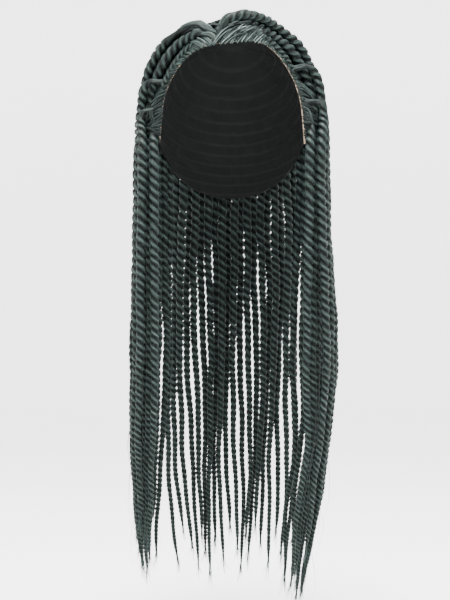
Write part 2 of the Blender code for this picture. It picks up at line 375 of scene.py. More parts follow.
@dataclass(frozen=True)
class StudioFinish:
    """Plain pale paper."""

    name: str = "studio_paper"
    pale: Colour = (0.93, 0.93, 0.93)
    paler: Colour = (0.95, 0.95, 0.95)
    glow: float = 1.5

    def build(self) -> bpy.types.Material:
        """Makes the material."""
        shading = Shading(self.name)
        x, y, z = shading.place()
        tone = shading.grain(x * 3.0, y * 3.0, z * 3.0)
        colour = shading.blend(tone, self.pale, self.paler)
        return shading.dress(
            Base_Color=colour, Roughness=0.95, Emission_Color=colour, Emission_Strength=self.glow
        )


def ease(share: np.ndarray) -> np.ndarray:
    """Rises from 0 to 1 with level ends."""
    share = np.clip(share, 0.0, 1.0)
    return share * share * (3.0 - 2.0 * share)


def read(table: Table, turn: float) -> float:
    """A table's value at an angle round the face, in degrees on either side."""
    return float(np.interp(abs(turn), *zip(*table)))


def fanned(rank: int, number: int) -> float:
    """The place of one of several locks laid side by side, from -1 to 1."""
    return 2.0 * rank / (number - 1) - 1.0


def unit(rows: np.ndarray) -> np.ndarray:
    """Each row at unit length."""
    return rows / np.maximum(np.linalg.norm(rows, axis=-1, keepdims=True), 1e-12)


def ring_offsets(turn: np.ndarray, across: np.ndarray, normals: np.ndarray, depth: float = 1.0) -> np.ndarray:
    """Offsets of a ring's points at each point of a line.

    Args:
        turn: Angle of each of the ring's points.
        across: Direction across at each point of the line.
        normals: Direction off the head at each point of the line.
        depth: The ring's depth, as a share of its width.

    Returns:
        The offsets, for a half width of 1.
    """
    side = np.cos(turn)[None, :, None] * across[:, None, :]
    return side + depth * np.sin(turn)[None, :, None] * normals[:, None, :]


def add_mesh(
    name: str, points: np.ndarray, faces: List[Sequence[int]], corners: np.ndarray, finish: bpy.types.Material
) -> bpy.types.Object:
    """Adds a mesh object from arrays.

    Args:
        name: The object's name.
        points: Its vertices.
        faces: The vertices of each face.
        corners: The map's two values for each corner of each face, in order.
        finish: Its material.

    Returns:
        The object, linked to the scene.
    """
    mesh = bpy.data.meshes.new(name)
    mesh.from_pydata(points.tolist(), [], faces)
    chart = mesh.uv_layers.new(name="Strand")
    chart.data.foreach_set("uv", corners.astype(np.float32).ravel())
    mesh.materials.append(finish)
    mesh.shade_smooth()
    piece = bpy.data.objects.new(name, mesh)
    bpy.context.scene.collection.objects.link(piece)
    return piece


class TubeMaker:
    """Gathers tubes of rings into the arrays of one mesh."""

    def __init__(self) -> None:
        """Starts with nothing."""
        self.points: List[np.ndarray] = []
        self.painted_light_and_tone: List[np.ndarray] = []
        self.faces: List[Sequence[int]] = []
        self.corners: List[Tuple[float, float]] = []
        self.count = 0

    def add(self, rings: np.ndarray, along: np.ndarray, painted_light_and_tone: Optional[np.ndarray] = None) -> None:
        """Adds a closed tube.

        Args:
            rings: Points of each ring, as rings by points by 3.
            along: The map's second value for each ring.
            painted_light_and_tone: How far each point lies down in a crease, from 0 to 1, which the material
                paints as shade; for a lock it also holds the lock's random tone and its painted highlight.
        """
        number, sides, _ = rings.shape
        self.points.append(rings.reshape(-1, 3))
        self.painted_light_and_tone.append(np.zeros(number * sides) if painted_light_and_tone is None else painted_light_and_tone.ravel())
        for ring in range(number - 1):
            low = self.count + ring * sides
            for side in range(sides):
                far = (side + 1) % sides
                self.faces.append((low + side, low + far, low + sides + far, low + sides + side))
                left, right = side / sides, (side + 1) / sides
                near, next_ = along[ring], along[ring + 1]
                self.corners += [(left, near), (right, near), (right, next_), (left, next_)]
        first = list(range(self.count, self.count + sides))
        last = [self.count + (number - 1) * sides + side for side in range(sides)]
        self.faces += [first[::-1], last]
        self.corners += [(0.5, along[0])] * sides + [(0.5, along[-1])] * sides
        self.count += number * sides

    def add_lock(
        self,
        middles: np.ndarray,
        half: np.ndarray,
        normals: np.ndarray,
        across: np.ndarray,
        along: np.ndarray,
        dice: np.random.Generator,
        painted_highlight: float,
    ) -> None:
        """Adds a flat lock of hair, with painted shade at its edges.

        Args:
            middles: The lock's line.
            half: Half its width at each point of the line.
            normals: The direction off the head at each point.
            across: The direction across the lock at each point.
            along: The map's second value at each point.
            dice: Seeded random numbers, for the lock's own tone.
            painted_highlight: How much a painted highlight lightens it over the hair round it.
        """
        turn = (np.arange(LOCK_SIDES) + 0.25) * (math.tau / LOCK_SIDES)
        ring = ring_offsets(turn, across, normals, LOCK_DEPTH)
        # Painted shade at the lock's edges, a random tone for the whole lock, and less shade where the
        # painted highlight is given
        edges = np.abs(np.cos(turn)) ** 2 * EDGE_PAINTED_SHADE + dice.uniform(0.0, LOCK_VARIETY) - painted_highlight
        painted_light_and_tone = np.tile(edges, (len(middles), 1))
        self.add(middles[:, None, :] + ring * half[:, None, None], along, painted_light_and_tone)

    def finish(self, name: str, finish: bpy.types.Material) -> bpy.types.Object:
        """Makes the object, as a piece of hair that rides on the wig.

        Args:
            name: Its name.
            finish: Its material.

        Returns:
            The object.
        """
        piece = add_mesh(name, np.concatenate(self.points), self.faces, np.array(self.corners), finish)
        # The painted shade and highlight of each point, with the random tone of each lock, for the hair's
        # material
        painted_light_layer = piece.data.attributes.new("PaintedLightAndTone", "FLOAT", "POINT")
        painted_light_layer.data.foreach_set("value", np.concatenate(self.painted_light_and_tone).astype(np.float32))
        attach(piece, "root")
        return piece


@dataclass
class Line:
    """A smooth line with a thickness at each of its points."""

    points: np.ndarray
    widths: np.ndarray

    @classmethod
    def through(cls, knots: np.ndarray, widths: np.ndarray, steps: int = LINE_STEPS) -> "Line":
        """Lays a smooth line through knots.

        Args:
            knots: The knots, in order.
            widths: The thickness at each knot.
            steps: Points for each stretch between knots.

        Returns:
            The line.
        """
        rows = np.column_stack([knots, widths])
        rows = np.vstack([2.0 * rows[0] - rows[1], rows, 2.0 * rows[-1] - rows[-2]])
        span = np.linalg.norm(np.diff(rows[:, :3], axis=0), axis=1)
        fine = []
        for i in range(1, len(rows) - 2):
            start, end = rows[i], rows[i + 1]
            leave = (end - rows[i - 1]) * (span[i] / (span[i - 1] + span[i]))
            arrive = (rows[i + 2] - start) * (span[i] / (span[i] + span[i + 1]))
            for t in np.arange(steps) / steps:
                a, b = t * t * (3.0 - 2.0 * t), t * t * (t - 1.0)
                fine.append(start + (end - start) * a + leave * (t - 2.0 * t * t + t**3) + arrive * b)
        fine.append(rows[-2])
        fine = np.array(fine)
        return cls(fine[:, :3], fine[:, 3])

    @classmethod
    def of_node(cls, node: str) -> "Line":
        """Reads the middle and the thickness of each ring of a twist's solid, from its root to its tip.

        Args:
            node: The solid's name.

        Returns:
            The smooth line through them.
        """
        solid = bmesh.new()
        solid.from_mesh(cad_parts[node].data)
        bmesh.ops.remove_doubles(solid, verts=solid.verts, dist=1e-5)
        solid.verts.index_update()
        lowest = min(solid.verts, key=lambda vertex: vertex.co.z)
        ring = {vertex for vertex in solid.verts if (vertex.co - lowest.co).length < 0.006}
        seen = set()
        knots = []
        widths = []
        while ring:
            seen |= ring
            # Summed in a fixed order, so that each run gives the same line
            corners = [vertex.co for vertex in sorted(ring, key=lambda vertex: vertex.index)]
            middle = sum(corners, Vector()) / len(corners)
            knots.append(tuple(middle))
            widths.append(2.0 * max((corner - middle).length for corner in corners))
            ring = {edge.other_vert(vertex) for vertex in ring for edge in vertex.link_edges} - seen
        solid.free()
        return cls.through(np.array(knots[::-1]), np.array(widths[::-1]))

    @property
    def run(self) -> np.ndarray:
        """Length along the line at each of its points."""
        return np.concatenate([[0.0], np.cumsum(np.linalg.norm(np.diff(self.points, axis=0), axis=1))])

    def at(self, runs: np.ndarray) -> Tuple[np.ndarray, np.ndarray]:
        """Points and thicknesses at lengths along the line.

        Args:
            runs: The lengths.

        Returns:
            The points and the thicknesses.
        """
        run = self.run
        points = np.column_stack([np.interp(runs, run, self.points[:, axis]) for axis in range(3)])
        return points, np.interp(runs, run, self.widths)

    def led_by(self, knots: np.ndarray, widths: np.ndarray) -> "Line":
        """This line with a smooth lead before its start, which takes the place of its first stretch.

        Args:
            knots: Knots of the lead, in order, before this line's first point.
            widths: Their thicknesses.

        Returns:
            The longer line.
        """
        join = np.vstack([knots, self.points[0], self.points[LINE_STEPS]])
        lead = Line.through(join, np.concatenate([widths, [self.widths[0], self.widths[LINE_STEPS]]]))
        points = np.vstack([lead.points[:-1], self.points[LINE_STEPS:]])
        return Line(points, np.concatenate([lead.widths[:-1], self.widths[LINE_STEPS:]]))


def carried_frames(points: np.ndarray, first: Vector) -> Tuple[np.ndarray, np.ndarray]:
    """Carries a direction along a line without turning it about the line.

    Args:
        points: The line's points.
        first: The direction wanted at its start.

    Returns:
        The carried direction at each point, and the direction across it and the line.
    """
    tangents = unit(np.gradient(points, axis=0))
    normal = np.array(first)
    normals = np.empty_like(points)
    for i, tangent in enumerate(tangents):
        normal = normal - tangent * float(normal @ tangent)
        normal = normal / np.linalg.norm(normal)
        normals[i] = normal
    return normals, np.cross(tangents, normals)


class Lay(Enum):
    """The way that the strands of a rope turn, seen from the front of a hanging rope."""

    DOWN_TO_RIGHT = 1.0
    DOWN_TO_LEFT = -1.0


@dataclass
class Rope:
    """A rope of two hair strands on a line, gathered at its root from flat locks."""

    line: Line
    straight: float
    seed: int
    lay: Lay = Lay.DOWN_TO_RIGHT
    sides: int = 16
    rings_a_turn: int = 8
    turn_length: float = 1.95
    least_width: float = 0.0028
    least_turn: float = 0.004
    turn_unevenness: float = 0.12
    fullness: float = 1.07
    strand_offset: float = 0.44
    strand_half_width: float = 0.56
    strand_half_depth: float = 0.76
    flat_width: float = 0.5
    flat_depth: float = 0.36
    fade: float = 0.02
    wander: float = 0.0007
    unevenness: float = 0.05
    core: float = 0.3
    tip: float = 0.4
    tip_length: float = 0.022
    locks: int = 5
    lock_half: float = 0.00135
    lock_slip: float = 0.25
    lock_lifts: Tuple[float, float] = (-0.0003, 0.0011)
    lock_wander: float = 0.0004
    gathered_spread: float = 0.27
    root_half: float = 0.0034
    # How much lighter the root locks are painted: a painted highlight
    root_painted_highlight: float = 0.22
    gathered_at: float = 0.024

    def _runs(self) -> np.ndarray:
        """Lengths along the rope where it has a ring."""
        whole = float(self.line.run[-1])
        runs = [0.0]
        while runs[-1] < whole:
            width = float(np.interp(runs[-1], self.line.run, self.line.widths))
            runs.append(runs[-1] + max(width, self.least_width) * self.turn_length / self.rings_a_turn)
        runs[-1] = whole
        return np.array(runs)

    def _uneven(self, runs: np.ndarray, length: float, dice: np.random.Generator) -> np.ndarray:
        """A smooth unevenness about 0 along the rope.

        Args:
            runs: Lengths along the rope.
            length: Length of its slowest wave.
            dice: Seeded random numbers.

        Returns:
            The value at each length, mostly within 1.
        """
        waves = [math.tau / (length * share) for share in (1.0, 0.61, 0.37)]
        return sum(np.sin(runs * wave + dice.uniform(0.0, math.tau)) for wave in waves) / 2.0

    def _lobes(self, angle: np.ndarray) -> np.ndarray:
        """Outline of the two pressed strands.

        Args:
            angle: Directions from the rope's middle.

        Returns:
            The outline's distance from the middle, as a share of the rope's half width.
        """
        across = self.strand_half_width**-2
        squares = np.cos(angle) ** 2 * across + np.sin(angle) ** 2 * self.strand_half_depth**-2
        reach = self.strand_offset * np.abs(np.cos(angle)) * across
        rest = 1.0 - self.strand_offset**2 * across
        return (reach + np.sqrt(reach**2 + squares * rest)) / squares

    def _gather(
        self, tubes: TubeMaker, runs: np.ndarray, frames: Sequence[np.ndarray], phase: np.ndarray
    ) -> None:
        """Adds the flat locks that fan from the root and gather into the two strands.

        Args:
            tubes: The tubes to add to.
            runs: Length along the rope of each ring.
            frames: Middle, width, outward direction and direction across of each ring.
            phase: Turn of the strands at each ring.
        """
        dice = np.random.default_rng(self.seed + 7000)
        used = runs <= self.straight + 1.4 * self.fade
        points, widths, normals, across = (rows[used] for rows in frames)
        runs, phase = runs[used], phase[used]
        twisted = ease((runs - self.straight * 0.8) / self.fade)
        close = ease(runs / min(0.85 * self.straight, self.gathered_at))
        spread = self.root_half * (1.0 - close) + self.gathered_spread * widths * close
        for j in range(self.locks):
            share = fanned(j, self.locks)
            slip = dice.uniform(-self.lock_slip, self.lock_slip)
            slip = slip + self.lock_slip * self._uneven(runs, 0.035, dice)
            lift = self.lock_lifts[j % 2] * ease(runs / 0.008)
            lift = lift + self.lock_wander * self._uneven(runs, 0.03, dice)
            strand = phase + math.pi * (j % 2)
            reach = self.strand_offset * 0.5 * widths
            side = (share + slip) * spread * (1.0 - twisted) + reach * np.cos(strand) * twisted
            rise = lift * (1.0 - twisted) + reach * np.sin(strand) * twisted
            middle = points + across * side[:, None] + normals * rise[:, None]
            half = self.lock_half * dice.uniform(0.85, 1.2) * (0.55 + 0.45 * ease(runs / 0.01))
            half = half * (1.0 - 0.6 * twisted) * (0.4 + 0.6 * np.maximum(widths / widths[0], 1.0))
            along = runs + 0.13 * j + 0.01 * self.seed
            tubes.add_lock(middle, half, normals, across, along, dice, self.root_painted_highlight)

    def build(self, tubes: TubeMaker, outward: Vector) -> np.ndarray:
        """Adds the rope's surface and its locks.

        Args:
            tubes: The tubes to add to.
            outward: Direction away from the head at the root.

        Returns:
            The points of each ring.
        """
        dice = np.random.default_rng(self.seed)
        runs = self._runs()
        points, widths = self.line.at(runs)
        normals, across = carried_frames(points, outward)
        twisted = ease((runs - self.straight) / self.fade)
        slack = self.wander * twisted * ease(runs / 0.2)
        points = points + normals * (slack * self._uneven(runs, 0.16, dice))[:, None]
        points = points + across * (slack * self._uneven(runs, 0.21, dice))[:, None]
        pace = twisted * (1.0 + self.turn_unevenness * self._uneven(runs, 0.09, dice))
        pace = pace / np.maximum(widths * self.turn_length, self.least_turn)
        steps = np.diff(runs) * (pace[1:] + pace[:-1]) * 0.5
        phase = self.lay.value * math.tau * np.concatenate([[0.0], np.cumsum(steps)])
        angle = math.pi / 2.0 + np.arange(self.sides) * (math.tau / self.sides)
        filled = ease((runs - 0.35 * self.straight) / (0.65 * self.straight + self.fade))
        swell = self.core + (1.0 - self.core) * filled
        size = 0.5 * widths * self.fullness * (1.0 + self.unevenness * self._uneven(runs, 0.03, dice)) * swell
        size = size * (self.tip + (1.0 - self.tip) * ease((runs[-1] - runs) / self.tip_length))
        lobes = self._lobes(angle)
        world = angle[None, :] + phase[:, None]
        wide, deep = 2.0 * self.flat_width, 2.0 * self.flat_depth
        flat = wide * deep / np.sqrt((deep * np.cos(world)) ** 2 + (wide * np.sin(world)) ** 2)
        share = twisted[:, None]
        radius = size[:, None] * (flat * (1.0 - share) + lobes[None, :] * share)
        side = (radius * np.cos(world))[:, :, None] * across[:, None, :]
        rise = (radius * np.sin(world))[:, :, None] * normals[:, None, :]
        rings = points[:, None, :] + side + rise
        # Painted shade: darkest in the groove between the two strands, and half dark over the untwisted root
        # under its locks
        painted_light_and_tone = share * (1.0 - np.abs(np.cos(angle)))[None, :] + (1.0 - share) * 0.5
        tubes.add(rings, runs + self.seed * 0.37, painted_light_and_tone)
        self._gather(tubes, runs, (points, widths, normals, across), phase)
        return rings


@dataclass
class LooseHair:
    """Single hairs and fine wisps, gathered in one mesh of thin tapered tubes."""

    name: str
    seed: int
    thickness: float = 0.00024
    wisp_thickness: float = 0.0008
    wisp_root: float = 0.16
    wisp_spread: float = 0.045
    wisp_curl: float = 0.0022
    stray_roots: Tuple[float, float] = (0.62, 0.86)
    stray_curl: float = 0.0015
    past_tip: float = 0.004
    sides: int = 3
    strands: List[Tuple[np.ndarray, float]] = field(default_factory=list)

    def __post_init__(self) -> None:
        """Starts the seeded random numbers."""
        self.dice = np.random.default_rng(self.seed)

    def wisps(self, points: np.ndarray, width: float, number: int, reach: float) -> None:
        """Adds the hairs that a rope ends in.

        Args:
            points: The rope's line.
            width: Its thickness at the tip.
            number: How many hairs.
            reach: Length of the longest past the tip.
        """
        heading = unit(points[-1] - points[-3])
        for _ in range(number):
            back = int(self.dice.integers(2, min(12, len(points) - 1)))
            start = points[-1 - back]
            spread = self.dice.normal(0.0, 1.0, 3)
            spread -= heading * float(spread @ heading)
            curl = self.dice.normal(0.0, self.wisp_curl, 3)
            length = float(np.linalg.norm(points[-1] - start)) + reach * self.dice.uniform(0.1, 1.0) ** 1.4
            t = np.linspace(0.0, 1.0, 8)[:, None]
            base = start + spread * width * self.wisp_root
            away = spread * length * self.wisp_spread * t**1.5
            strand = base + heading * length * t + away + curl * t**2
            self.strands.append((strand, self.wisp_thickness * self.dice.uniform(0.4, 1.0)))

    def strays(self, points: np.ndarray, out: np.ndarray, number: int, length: float, bow: float) -> None:
        """Adds long fine strands that have come away from a rope low down and hang beside it.

        Args:
            points: The rope's line.
            out: The direction that they stand off in.
            number: How many.
            length: Length of the longest.
            bow: How far the widest stands off.
        """
        for _ in range(number):
            start = points[int(len(points) * self.dice.uniform(*self.stray_roots))]
            room = float(start[2] - points[-1][2]) + self.past_tip
            drop = min(length * self.dice.uniform(0.4, 1.0), room)
            off = out * bow * self.dice.uniform(0.3, 1.0)
            t = np.linspace(0.0, 1.0, 14)[:, None]
            wave = np.sin(t * math.pi * self.dice.uniform(0.7, 1.5)) * (1.0 - 0.3 * t)
            curl = self.dice.normal(0.0, self.stray_curl, 3)
            curl = curl * np.sin(t * math.tau * self.dice.uniform(0.6, 1.4))
            strand = start + np.array([0.0, 0.0, -1.0]) * drop * t + off * (wave + 0.3 * t) + curl * t
            self.strands.append((strand, self.wisp_thickness * self.dice.uniform(0.5, 1.0)))

    def fuzz(self, rings: np.ndarray, number: int, length: float) -> None:
        """Adds short hairs that stand off a rope.

        Args:
            rings: The rope's surface.
            number: How many hairs.
            length: Length of the longest.
        """
        for _ in range(number):
            ring = int(self.dice.integers(2, len(rings) - 4))
            side = int(self.dice.integers(0, rings.shape[1]))
            middle = rings[ring].mean(axis=0)
            along = unit(rings[ring + 2].mean(axis=0) - middle)
            out = unit(rings[ring, side] - middle)
            sweep = unit(along * self.dice.uniform(0.6, 1.4) + out * self.dice.uniform(0.15, 0.6))
            reach = length * self.dice.uniform(0.4, 1.0)
            t = np.linspace(0.0, 1.0, 6)[:, None]
            bend = np.cross(along, out) * reach * self.dice.normal(0.0, 0.3)
            start = rings[ring, side] - out * 0.0004
            strand = start + sweep * reach * t + bend * t**2 - out * reach * 0.12 * t**2
            self.strands.append((strand, self.thickness))

    def build(self, finish: bpy.types.Material) -> bpy.types.Object:
        """Makes the object.

        Args:
            finish: The hair's material.

        Returns:
            The object.
        """
        tubes = TubeMaker()
        turn = np.arange(self.sides) * (math.tau / self.sides)
        for strand, thickness in self.strands:
            normals, across = carried_frames(strand, Vector((0.3, 0.5, 0.81)))
            thick = 0.5 * thickness * np.linspace(1.0, 0.22, len(strand))
            ring = ring_offsets(turn, across, normals)
            tubes.add(strand[:, None, :] + ring * thick[:, None, None], np.linspace(0.0, 0.01, len(strand)))
        return tubes.finish(self.name, finish)


@dataclass
class Head:
    """The head that the cap fits, as half of an ellipsoid, and the rim of the cap round the face."""

    half_width: float = 0.079
    half_depth: float = 0.098
    crown: float = 0.125
    mean_reach: float = 0.1
    face_rise: float = 10.0

    def __post_init__(self) -> None:
        """Reads the solids of the cap and its lace."""
        points: List[Vector] = []
        faces: List[List[int]] = []
        for node in ("cap", "front_lace"):
            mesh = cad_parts[node].data
            base = len(points)
            points += [vertex.co.copy() for vertex in mesh.vertices]
            faces += [[base + i for i in polygon.vertices] for polygon in mesh.polygons]
        self.surface = BVHTree.FromPolygons(points, faces)

    def point(self, way: Vector, height: float) -> Vector:
        """The point in a direction from the middle of the head, at a height over it."""
        x, y = way.x * (self.half_width + height), way.y * (self.half_depth + height)
        return Vector((x, y, way.z * (self.crown + height) - self.crown))

    def stepped(self, spot: Vector, walk: Vector) -> Vector:
        """The direction that a walk over the head ends in, from a direction and a walk in metres."""
        return (spot + walk / self.mean_reach).normalized()

    def way(self, point: Sequence[float]) -> Vector:
        """The direction of a point from the middle of the head."""
        x, y = point[0] / self.half_width, point[1] / self.half_depth
        return Vector((x, y, (point[2] + self.crown) / self.crown)).normalized()

    def outward(self, point: Sequence[float]) -> Vector:
        """The direction square to the head at a point."""
        way = self.way(point)
        return Vector((way.x / self.half_width, way.y / self.half_depth, way.z / self.crown)).normalized()

    def lay_lock(
        self,
        tubes: TubeMaker,
        middles: np.ndarray,
        half: np.ndarray,
        runs: np.ndarray,
        dice: np.random.Generator,
        painted_highlight: float,
    ) -> None:
        """Adds a flat lock that lies over the head.

        Args:
            tubes: The tubes to add to.
            middles: The lock's line.
            half: Half its width at each point of the line.
            runs: Length along the lock at each point.
            dice: Seeded random numbers.
            painted_highlight: How much a painted highlight lightens it over the hair round it.
        """
        normals, across = carried_frames(middles, self.outward(middles[0]))
        tubes.add_lock(middles, half, normals, across, runs + dice.uniform(0.0, 3.0), dice, painted_highlight)

    def turn_of(self, way: Vector) -> float:
        """The angle round the face of a direction, from the forehead toward the wearer's left."""
        rise = math.radians(self.face_rise)
        return math.atan2(way.x, way.y * math.sin(rise) + way.z * math.cos(rise))

    def rim(self, turn: float) -> Vector:
        """The direction where the lace begins.

        Args:
            turn: The angle round the face, in radians.

        Returns:
            The direction.
        """
        rise = math.radians(self.face_rise)
        face = Vector((0.0, -math.cos(rise), math.sin(rise)))
        away = Vector((math.sin(turn), math.sin(rise) * math.cos(turn), math.cos(rise) * math.cos(turn)))
        open_, step = math.radians(10.0), math.radians(2.0)
        for _ in range(70):
            spread = open_ + step
            way = face * math.cos(spread) + away * math.sin(spread)
            ray = Vector((way.x * self.half_width, way.y * self.half_depth, way.z * self.crown))
            if self.surface.ray_cast(Vector((0.0, 0.0, -self.crown)), ray.normalized())[0] is None:
                open_ = spread
            else:
                step *= 0.5
        return face * math.cos(open_) + away * math.sin(open_)


@dataclass
class SideHair:
    """The ropes of one side, rooted at the part or down the hairline."""

    side: str
    straight_front: float
    straight_back: float
    seed: int
    part_lead: float = 0.002
    part_height: float = 0.0025
    rim_reach: float = 0.015
    rim_height: float = 0.0015
    rim_width: float = 0.004
    rim_straight: float = 0.016
    wisps: int = 16
    wisp_reach: float = 0.017
    strays: int = 1
    stray_length: float = 0.1
    stray_bow: float = 0.008
    fuzz: int = 26
    fuzz_length: float = 0.009
    root_half: float = 0.0036

    def names(self) -> List[str]:
        """Names of the side's solids, from the face backwards."""
        return sorted(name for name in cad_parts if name.startswith(f"{self.side}_twist"))

    def line(self, node: str, head: Head, straight: float) -> Tuple[Line, float]:
        """The line of a rope, led back to where its hair grows.

        Args:
            node: The rope's solid.
            head: The head that it lies on.
            straight: Length of its untwisted hair.

        Returns:
            The line, and the length of its untwisted hair.
        """
        line = Line.of_node(node)
        root = line.points[0]
        rim = head.point(head.rim(head.turn_of(head.way(root)) * 0.97), self.rim_height)
        if (rim - Vector(root)).length < self.rim_reach:
            return line.led_by(np.array([tuple(rim)]), np.array([self.rim_width])), self.rim_straight
        back = Vector(unit(line.points[0] - line.points[6]))
        start = head.point(head.way(Vector(root) + back * self.part_lead), self.part_height)
        return line.led_by(np.array([tuple(start)]), np.array([line.widths[0] * 0.7])), straight

    def build(self, head: Head, finish: bpy.types.Material) -> int:
        """Makes the side's ropes and loose hairs.

        Args:
            head: The head that they lie on.
            finish: The hair's material.

        Returns:
            The number of ropes.
        """
        names = self.names()
        loose = LooseHair(f"{self.side}_loose_hair", self.seed + 500)
        for rank, node in enumerate(names):
            share = rank / max(1, len(names) - 1)
            straight = float(np.interp(share, (0.0, 0.5), (self.straight_front, self.straight_back)))
            line, straight = self.line(node, head, straight)
            rope = Rope(line, straight, self.seed + rank, root_half=self.root_half)
            tubes = TubeMaker()
            rings = rope.build(tubes, head.outward(line.points[0]))
            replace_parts(tubes.finish(node.replace("twist", "rope"), finish), node)
            middles = rings.mean(axis=1)
            loose.wisps(middles, float(line.widths[-1]), self.wisps, self.wisp_reach)
            outer = math.copysign(1.0, middles[int(len(middles) * 0.7)][0])
            loose.strays(middles, np.array([outer, 0.0, 0.0]), self.strays, self.stray_length, self.stray_bow)
            loose.fuzz(rings, self.fuzz, self.fuzz_length)
        loose.build(finish)
        return len(names)


@dataclass
class RearHair(SideHair):
    """The ropes at the back, whose hair is laid flat from the crown to where they start."""

    crown_back: float = 0.052
    crown_side: float = -0.016
    crown_height: float = -0.02
    lead_steps: int = 3
    lead_height: float = 0.0027
    lead_climb: float = 0.0015
    start_width: float = 0.003

    def line(self, node: str, head: Head, straight: float) -> Tuple[Line, float]:
        """The line of a rope, led back over the cap to the crown.

        Args:
            node: The rope's solid.
            head: The head that it lies on.
            straight: Length of its untwisted hair.

        Returns:
            The line, and the length of its untwisted hair.
        """
        line = Line.of_node(node)
        crown = Vector((self.crown_side, self.crown_back, self.crown_height))
        root = Vector(line.points[0])
        knots = []
        widths = []
        for step in range(self.lead_steps):
            share = step / self.lead_steps
            height = self.lead_height + self.lead_climb * share
            knots.append(tuple(head.point(head.way(crown.lerp(root, share)), height)))
            widths.append(self.start_width + (line.widths[0] - self.start_width) * share)
        return line.led_by(np.array(knots), np.array(widths)), straight


@dataclass
class Hairline:
    """The hair at the edge of the lace on one side of the part: flat locks, and ropes laid along the edge.

    The tables lean, rise, over_edge, lengths and shine go by the angle round the face; shine is a painted
    highlight, strongest at the forehead and gone at the sides. A rope laid along the edge is its distance
    from the edge, its width, and where it starts and ends along the edge.
    """

    side: str
    sign: float
    seed: int
    lean: Table
    rise: Table
    ropes: Sequence[Tuple[float, float, float, float]]
    part_turn: float = -17.0
    end_turn: float = 90.0
    pitch: float = 0.0052
    lengths: Table = ((0.0, 0.03), (25.0, 0.024), (50.0, 0.02), (90.0, 0.02))
    # Painted highlight on the locks, strongest at the forehead
    painted_highlight: Table = ((0.0, 0.36), (35.0, 0.3), (55.0, 0.08), (90.0, 0.0))
    lock_half: float = 0.0013
    lock_height: float = 0.0007
    clearance: float = 0.0012
    rope_straight: float = 0.008
    rope_fade: float = 0.012
    rope_root_half: float = 0.002
    strands: int = 4
    rows: int = 2
    row_step: float = 0.007
    over_edge: Table = ((0.0, 0.0028), (90.0, 0.0028))
    baby_hairs: int = 150
    baby_length: float = 0.014
    baby_thickness: float = 0.0006
    baby_lift: float = 0.002

    def _edge(self, head: Head) -> Edge:
        """Reads the rim from the part to its lower end.

        Args:
            head: The head.

        Returns:
            The angle round the face, the direction and the length along the rim of each of its points.
        """
        turns = np.radians(np.linspace(self.part_turn, self.sign * self.end_turn, 90))
        ways = [head.rim(float(turn)) for turn in turns]
        steps = [(head.point(b, 0.0) - head.point(a, 0.0)).length for a, b in zip(ways, ways[1:])]
        return np.degrees(turns), ways, np.concatenate([[0.0], np.cumsum(steps)])

    def _at(self, edge: Edge, run: float) -> Tuple[Vector, Vector, Vector, float]:
        """A place on the rim.

        Args:
            edge: The rim's points.
            run: Length along the rim from the part.

        Returns:
            The direction there, the way along the rim, the way over the cap, and the angle round the face.
        """
        turns, ways, runs = edge
        rows = np.array([tuple(way) for way in ways])
        spot, ahead = (
            Vector([float(np.interp(value, runs, rows[:, axis])) for axis in range(3)]).normalized()
            for value in (run, run + 0.004)
        )
        along = (ahead - spot).normalized()
        over = along.cross(spot).normalized()
        if over.y < 0.0:
            over = -over
        return spot, along, over, float(np.interp(run, runs, turns))

    def build(self, head: Head, finish: bpy.types.Material) -> int:
        """Makes the hair along the edge.

        Args:
            head: The head that it lies on.
            finish: The hair's material.

        Returns:
            The number of locks.
        """
        dice = np.random.default_rng(self.seed)
        edge = self._edge(head)
        whole = float(edge[2][-1])
        tubes = TubeMaker()
        number = 0
        for row in range(self.rows):
            for run in np.arange(self.pitch * (0.5 + 0.5 * row), whole - 0.004, self.pitch):
                self._lock(tubes, head, edge, float(run), row, dice)
                number += 1
        tubes.finish(f"{self.side}_hairline_locks", finish)
        tubes = TubeMaker()
        for rank, (offset, width, start, end) in enumerate(self.ropes):
            knots = []
            for share in np.linspace(0.0, 1.0, 14):
                spot, _, over, _ = self._at(edge, float(start + (whole * end - start) * share))
                ends = ease(np.array([min(share, 1.0 - share) / 0.16]))[0]
                reach = offset * (0.5 + 0.5 * ends) + 0.01 * max(0.0, share - 0.85)
                way = head.stepped(spot, over * reach)
                knots.append(tuple(head.point(way, self.clearance + 0.5 * width * ends)))
            line = Line.through(np.array(knots), np.full(len(knots), width), 8)
            rope = Rope(
                line,
                self.rope_straight,
                self.seed + 40 + rank,
                fade=self.rope_fade,
                root_half=self.rope_root_half,
            )
            rope.build(tubes, head.outward(line.points[0]))
        tubes.finish(f"{self.side}_hairline_ropes", finish)
        self._baby_hairs(head, edge, dice).build(finish)
        return number

    def _baby_hairs(self, head: Head, edge: Edge, dice: np.random.Generator) -> LooseHair:
        """Lays short single hairs over the lace.

        Args:
            head: The head.
            edge: The rim's points.
            dice: Seeded random numbers.

        Returns:
            The hairs.
        """
        loose = LooseHair(f"{self.side}_baby_hairs", self.seed + 60)
        for run in np.sort(dice.uniform(0.0, float(edge[2][-1]) - 0.004, self.baby_hairs)):
            spot, along, over, turn = self._at(edge, float(run))
            lean = math.radians(read(self.lean, turn) + dice.normal(0.0, 16.0))
            heading = over * math.cos(lean) + along * math.sin(lean)
            bend = spot.cross(heading) * dice.normal(0.0, 0.12)
            reach = self.baby_length * dice.uniform(0.5, 1.0)
            start = dice.uniform(-0.0015, 0.002)
            knots = []
            for t in np.linspace(0.0, 1.0, 6):
                way = head.stepped(spot, (heading + bend * t) * (start + reach * t))
                knots.append(tuple(head.point(way, self.clearance + self.baby_lift * t)))
            loose.strands.append((np.array(knots), self.baby_thickness))
        return loose

